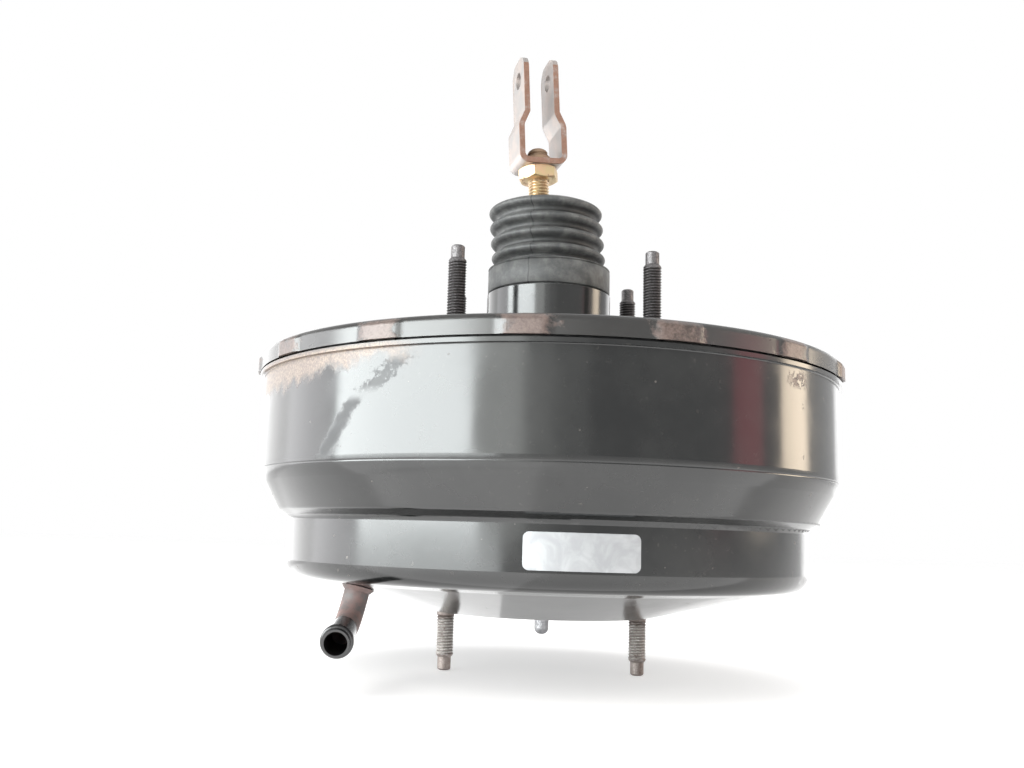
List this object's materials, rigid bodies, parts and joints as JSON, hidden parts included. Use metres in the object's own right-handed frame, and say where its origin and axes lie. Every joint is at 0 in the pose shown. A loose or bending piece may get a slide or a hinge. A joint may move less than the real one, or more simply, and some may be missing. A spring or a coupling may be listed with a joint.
{
  "type": "brake booster",
  "caption": "Tandem vacuum brake booster: stepped steel housing, bulkhead and master-cylinder studs, vacuum tube, bellows boot and forked input rod on a sliding power piston.",
  "frame": {"origin": "on the booster's axis, at the outer face of the rear shell that bolts to the bulkhead", "axes": "+Z along the axis towards the pedal; X and Y along the sides of the rear stud rectangle; the master-cylinder studs lie on X"},
  "size_m": [0.2596, 0.2601, 0.2871],
  "materials": {
    "black_paint": "gloss",
    "stud_steel": "satin, worn thread",
    "dark_stud_steel": "satin",
    "inner_steel": "satin",
    "spring_steel": "satin",
    "seal_rubber": "matte",
    "boot_rubber": "satin",
    "valve_plastic": "matte",
    "plunger_steel": "satin",
    "felt": "matte",
    "filter_foam": "matte",
    "rod_steel": "satin",
    "screw_steel": "satin",
    "yellow_zinc": "satin",
    "fork_zinc": "satin, rusty edges",
    "label_foil": "satin foil, blank"
  },
  "bodies": {
    "housing": {"front_shell": "black_paint", "rear_shell": "black_paint", "rear_stud_plate": "inner_steel", "rear_studs": "dark_stud_steel", "front_stud_plate": "inner_steel", "front_studs": "stud_steel", "vacuum_tube": "black_paint", "centre_plate": "inner_steel", "centre_seal": "seal_rubber", "rear_bearing_seal": "seal_rubber", "bearing_retainer": "inner_steel", "front_seal": "seal_rubber", "front_seal_retainer": "inner_steel", "return_spring": "spring_steel", "boot": "boot_rubber", "label": "label_foil"},
    "power_piston": {"rear_piston_plate": "inner_steel", "rear_diaphragm": "seal_rubber", "front_piston_plate": "inner_steel", "front_diaphragm": "seal_rubber", "piston_snap_ring": "inner_steel", "valve_body": "valve_plastic", "stop_key": "inner_steel", "poppet_valve": "seal_rubber", "poppet_stiffener": "inner_steel", "poppet_retainer": "inner_steel", "poppet_spring": "spring_steel", "silencer_felt": "felt", "air_filter": "filter_foam", "reaction_disc": "seal_rubber", "output_rod": "rod_steel", "output_rod_screw": "screw_steel"},
    "plunger": {"control_plunger": "plunger_steel", "rod_return_spring": "spring_steel"},
    "rod": {"input_rod": "yellow_zinc", "jam_nut": "yellow_zinc", "fork": "fork_zinc", "fork_collar": "fork_zinc"}
  },
  "joints": [
    {"name": "piston_stroke", "type": "slide", "parent": "housing", "child": "power_piston", "axis": [0, 0, -1], "range_m": [0, 0.025], "stiffness_N_per_m": 5000, "springref_m": -0.03, "deforming": ["return_spring", "rear_diaphragm", "front_diaphragm"]},
    {"name": "input_stroke", "type": "slide", "parent": "housing", "child": "plunger", "axis": [0, 0, -1], "range_m": [0, 0.0265], "stiffness_N_per_m": 400, "springref_m": -0.03, "deforming": ["boot", "poppet_spring"]},
    {"name": "rod_swing", "type": "hinge", "parent": "plunger", "child": "rod", "pos_m": [0, 0, -0.034], "axis": [0, 1, 0], "range_deg": [-1, 7], "deforming": ["rod_return_spring"]}
  ],
  "couplings": [
    {"joint": "input_stroke", "follows": "piston_stroke", "ratio": 1.06}
  ]
}
